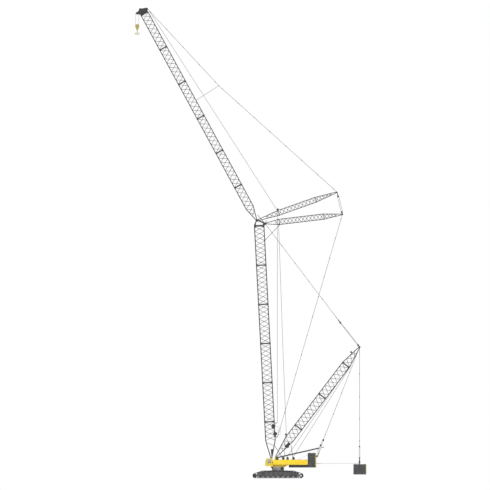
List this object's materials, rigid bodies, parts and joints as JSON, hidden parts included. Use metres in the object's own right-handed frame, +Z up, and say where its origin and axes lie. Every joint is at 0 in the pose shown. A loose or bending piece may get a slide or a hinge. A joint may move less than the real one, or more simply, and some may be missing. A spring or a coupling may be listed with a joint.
{
  "type": "scale model (1:10) of a crawler crane with a luffing jib and a superlift mast",
  "caption": "Lattice-boom crawler crane on tracks with a luffing jib, struts, a raked superlift mast and hanging ballast; slews, luffs and hoists.",
  "frame": {"origin": "on the ground under the slewing axis, midway between the tracks", "axes": "+Z up, +X from the boom towards the counterweight, +Y to the machine's right as seen from the cab"},
  "size_m": [7.0865, 1.1, 14.4053],
  "materials": {
    "yellow_paint": "gloss enamel",
    "tube_paint": "dark enamel on lattice tubes",
    "stay_steel": "dark coated bars",
    "track_steel": "worn cast steel",
    "frame_paint": "dark enamel",
    "grey_paint": "light grey enamel",
    "slate_paint": "blue-grey enamel",
    "ballast_iron": "painted cast slabs",
    "edge_paint": "olive-yellow enamel",
    "drum_steel": "drum steel",
    "cab_glass": "cab glazing",
    "rope_steel": "greased wire rope",
    "hook_paint": "olive-yellow enamel"
  },
  "bodies": {
    "undercarriage": {"track_left": "track_steel", "track_right": "track_steel", "side_frame_left": "frame_paint", "side_frame_right": "frame_paint", "carbody": "grey_paint"},
    "upper": {"turntable": "grey_paint", "deck": "yellow_paint", "machinery_houses": "yellow_paint", "rear_beam": "slate_paint", "counterweight": "ballast_iron", "counterweight_frame": "edge_paint", "a_frame": "frame_paint", "cab": "yellow_paint", "cab_glass": "cab_glass", "deck_winch_mounts": "frame_paint", "stops": "frame_paint"},
    "door": {"cab_door": "yellow_paint", "door_glass": "cab_glass"},
    "boom": {"boom_foot": "tube_paint", "boom_insert_1": "tube_paint", "boom_insert_2": "tube_paint", "boom_insert_3": "tube_paint", "boom_insert_4": "tube_paint", "boom_insert_5": "tube_paint", "boom_head": "tube_paint", "boom_winch_mounts": "frame_paint", "rear_strut": "tube_paint", "back_stays": "stay_steel"},
    "jib": {"jib_foot": "tube_paint", "jib_insert_1": "tube_paint", "jib_insert_2": "tube_paint", "jib_insert_3": "tube_paint", "jib_insert_4": "tube_paint", "jib_head": "tube_paint", "front_strut": "tube_paint", "jib_stays": "stay_steel"},
    "mast": {"mast_foot": "tube_paint", "mast_insert_1": "tube_paint", "mast_insert_2": "tube_paint", "mast_head": "tube_paint", "mast_winch": "frame_paint"},
    "boom_tackle": {"boom_tackle": "frame_paint"},
    "boom_stays": {"boom_stays": "stay_steel"},
    "mast_tackle": {"mast_tackle": "frame_paint"},
    "mast_stays": {"mast_stays": "stay_steel"},
    "luff_tackle": {"luff_tackle": "frame_paint"},
    "luff_block": {"luff_block": "frame_paint"},
    "ballast_hanger": {"ballast_hanger": "stay_steel"},
    "ballast": {"ballast": "ballast_iron", "ballast_frame": "edge_paint"},
    "hook_sheaves": {"hook_sheaves": "drum_steel"},
    "hook_falls": {"hook_falls": "rope_steel"},
    "hook_block": {"hook_block": "hook_paint"},
    "hook": {"hook": "hook_paint"},
    "deck_drum_1": {"deck_drum_1": "drum_steel"},
    "deck_drum_2": {"deck_drum_2": "drum_steel"},
    "deck_drum_3": {"deck_drum_3": "drum_steel"},
    "boom_drum_1": {"boom_drum_1": "drum_steel"},
    "boom_drum_2": {"boom_drum_2": "drum_steel"}
  },
  "joints": [
    {"name": "slew", "type": "hinge", "parent": "undercarriage", "child": "upper", "pos_m": [0, 0, 0.27], "axis": [0, 0, 1], "continuous": true},
    {"name": "boom_luff", "type": "hinge", "parent": "upper", "child": "boom", "pos_m": [-0.202, 0, 0.59], "axis": [0, -1, 0], "range_deg": [0, 22]},
    {"name": "jib_luff", "type": "hinge", "parent": "boom", "child": "jib", "pos_m": [-0.649, 0, 7.886], "axis": [0, -1, 0], "range_deg": [-6.5, 46.5]},
    {"name": "mast_luff", "type": "hinge", "parent": "upper", "child": "mast", "pos_m": [-0.08, 0, 0.636], "axis": [0, -1, 0], "range_deg": [0, 9.3]},
    {"name": "cab_door_swing", "type": "hinge", "parent": "upper", "child": "door", "pos_m": [-0.206, -0.356, 0.5], "axis": [0, 0, 1], "range_deg": [0, 100]},
    {"name": "hook_hoist", "type": "slide", "parent": "hook_falls", "child": "hook_block", "axis": [0, 0, 1], "range_m": [-5.5, 0]},
    {"name": "hook_turn", "type": "hinge", "parent": "hook_block", "child": "hook", "pos_m": [-4.308, 0, 13.69], "axis": [0, 0, 1], "continuous": true},
    {"name": "boom_tackle_swing", "type": "hinge", "parent": "mast", "child": "boom_tackle", "pos_m": [2.49545, 0, 4.01676], "axis": [0, -1, 0], "range_deg": [-0.5, 23.37]},
    {"name": "boom_tackle_reeve", "type": "slide", "parent": "boom_tackle", "child": "boom_stays", "axis": [-0.6078, 0, 0.7941], "range_m": [-0.02, 1.6821]},
    {"name": "luff_tackle_swing", "type": "hinge", "parent": "boom", "child": "luff_tackle", "pos_m": [1.97024, 0, 8.07616], "axis": [0, -1, 0], "range_deg": [-3.57, 22.48]},
    {"name": "luff_tackle_reeve", "type": "slide", "parent": "luff_tackle", "child": "luff_block", "axis": [-0.2328, 0, 0.9725], "range_m": [-0.2982, 2.0099]},
    {"name": "mast_tackle_swing", "type": "hinge", "parent": "upper", "child": "mast_tackle", "pos_m": [1.291, 0, 0.972], "axis": [0, -1, 0], "range_deg": [-0.5, 11.73]},
    {"name": "mast_tackle_reeve", "type": "slide", "parent": "mast_tackle", "child": "mast_stays", "axis": [0.3678, 0, 0.9299], "range_m": [-0.02, 0.2188]},
    {"name": "hanger_swing", "type": "hinge", "parent": "mast", "child": "ballast_hanger", "pos_m": [2.49545, 0, 4.01676], "axis": [0, -1, 0], "range_deg": [-9.8, 0.5]},
    {"name": "ballast_reeve", "type": "slide", "parent": "ballast_hanger", "child": "ballast", "axis": [0, 0, 1], "range_m": [-0.3918, 0.02]},
    {"name": "sheave_swing", "type": "hinge", "parent": "jib", "child": "hook_sheaves", "pos_m": [-4.308, 0, 14.232], "axis": [0, -1, 0], "range_deg": [-22.5, 0.5]},
    {"name": "falls_swing", "type": "hinge", "parent": "hook_sheaves", "child": "hook_falls", "pos_m": [-4.308, 0, 14.232], "axis": [0, -1, 0], "range_deg": [-47, 7]},
    {"name": "deck_drum_1_turn", "type": "hinge", "parent": "upper", "child": "deck_drum_1", "pos_m": [0.162, 0, 0.616], "axis": [0, -1, 0], "continuous": true},
    {"name": "deck_drum_2_turn", "type": "hinge", "parent": "upper", "child": "deck_drum_2", "pos_m": [0.294, 0, 0.616], "axis": [0, -1, 0], "continuous": true},
    {"name": "deck_drum_3_turn", "type": "hinge", "parent": "upper", "child": "deck_drum_3", "pos_m": [0.477, 0, 0.616], "axis": [0, -1, 0], "continuous": true},
    {"name": "boom_drum_1_turn", "type": "hinge", "parent": "boom", "child": "boom_drum_1", "pos_m": [-0.148, 0, 1.595], "axis": [0, -1, 0], "continuous": true},
    {"name": "boom_drum_2_turn", "type": "hinge", "parent": "boom", "child": "boom_drum_2", "pos_m": [-0.09, 0, 1.358], "axis": [0, -1, 0], "continuous": true}
  ],
  "couplings": [
    {"joint": "boom_tackle_swing", "follows": "boom_luff", "ratio": 1.0395},
    {"joint": "boom_tackle_reeve", "follows": "boom_luff", "m_per_rad": 4.3288},
    {"joint": "luff_tackle_swing", "follows": "jib_luff", "ratio": 0.47274},
    {"joint": "luff_tackle_reeve", "follows": "jib_luff", "m_per_rad": 2.4519},
    {"joint": "mast_tackle_swing", "follows": "mast_luff", "ratio": 1.2073},
    {"joint": "mast_tackle_reeve", "follows": "mast_luff", "m_per_rad": 1.2245},
    {"joint": "hanger_swing", "follows": "mast_luff", "ratio": -1},
    {"joint": "ballast_reeve", "follows": "mast_luff", "m_per_rad": -2.2904},
    {"joint": "sheave_swing", "follows": "boom_luff", "ratio": -1},
    {"joint": "falls_swing", "follows": "jib_luff", "ratio": -1}
  ]
}
